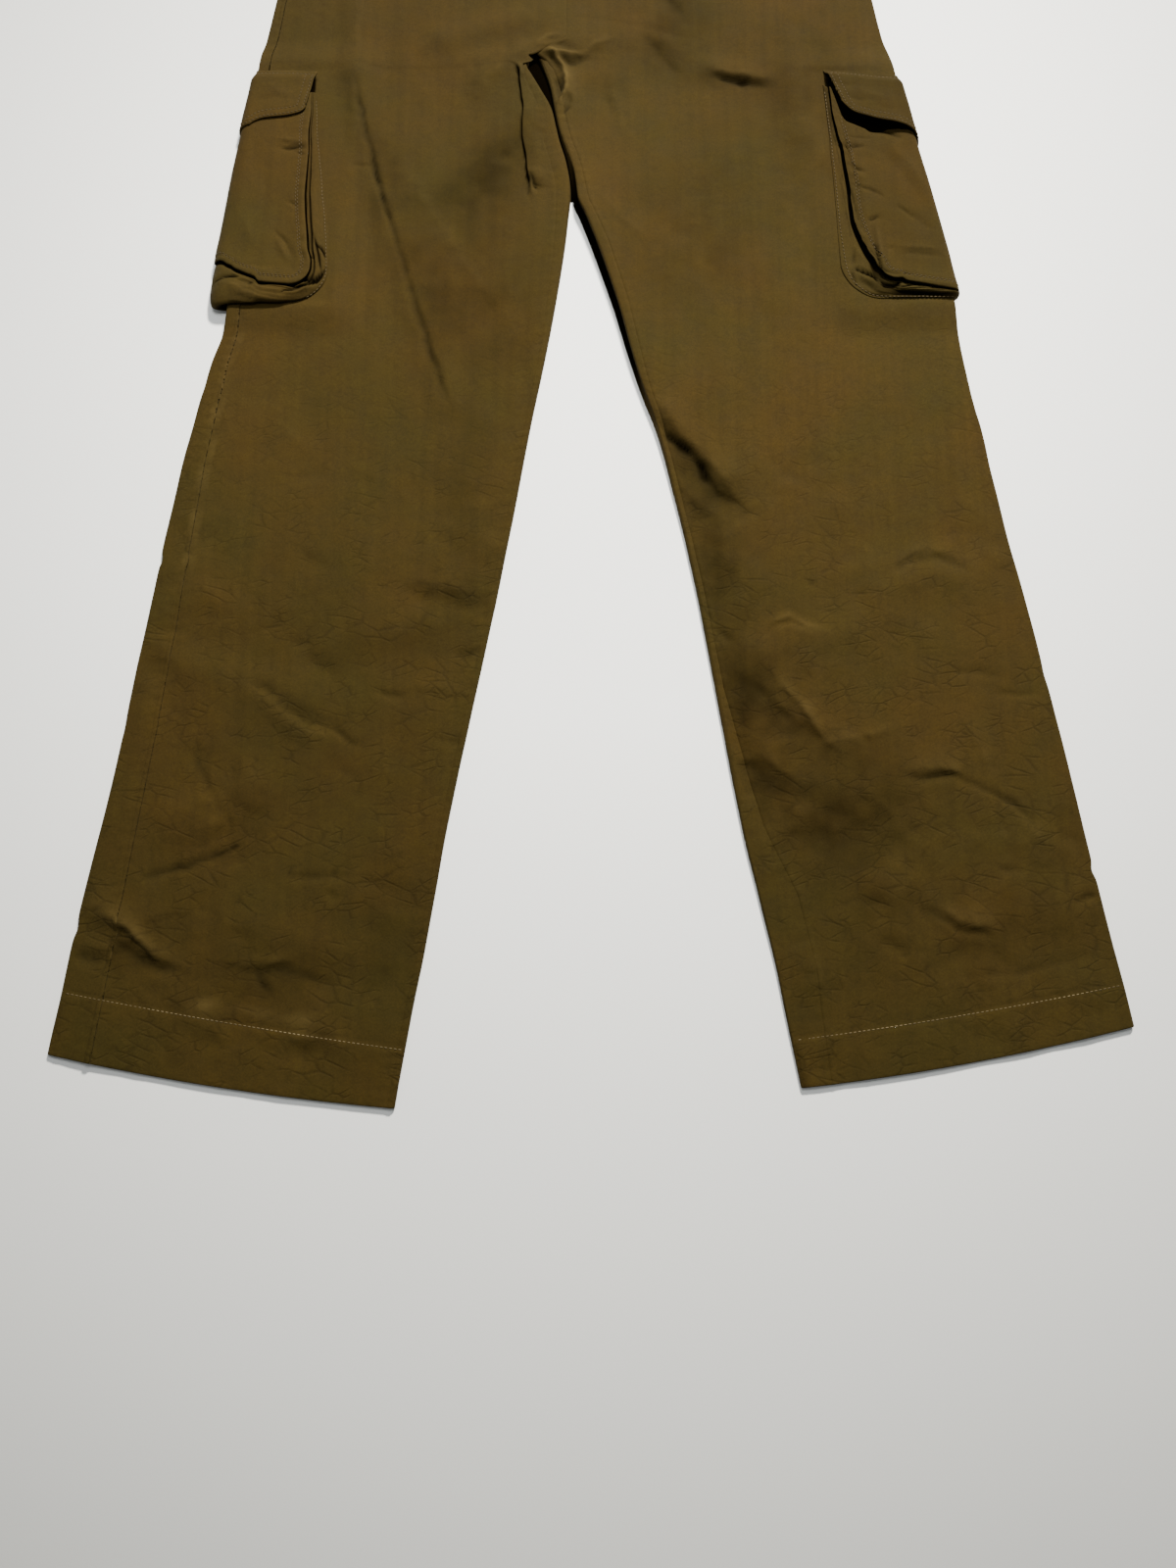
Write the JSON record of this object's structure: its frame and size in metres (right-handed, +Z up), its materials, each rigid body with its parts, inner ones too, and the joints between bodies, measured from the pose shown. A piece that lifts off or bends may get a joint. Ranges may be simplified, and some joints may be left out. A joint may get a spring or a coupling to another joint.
{
  "type": "cargo pants",
  "caption": "Straight cargo pants of thin cotton twill, laid flat on their back, with bellows pockets on the thighs and wide stitched hems.",
  "frame": {"origin": "centre of the box that the pants fill, on the surface they lie on", "axes": "+Y towards the waist, +Z up off the surface, +X to the right of someone looking down with the waist away"},
  "size_m": [0.743, 1.1048, 0.0208],
  "materials": {
    "olive_twill": "matte",
    "dark_button": "satin"
  },
  "bodies": {
    "root": {"back_left": "olive_twill", "back_right": "olive_twill", "button": "dark_button", "fly": "olive_twill", "front_left": "olive_twill", "front_right": "olive_twill", "pocket_bellows_left": "olive_twill", "pocket_bellows_right": "olive_twill", "pocket_face_left": "olive_twill", "pocket_face_right": "olive_twill", "pocket_flap_left": "olive_twill", "pocket_flap_right": "olive_twill", "waistband": "olive_twill"}
  },
  "joints": []
}
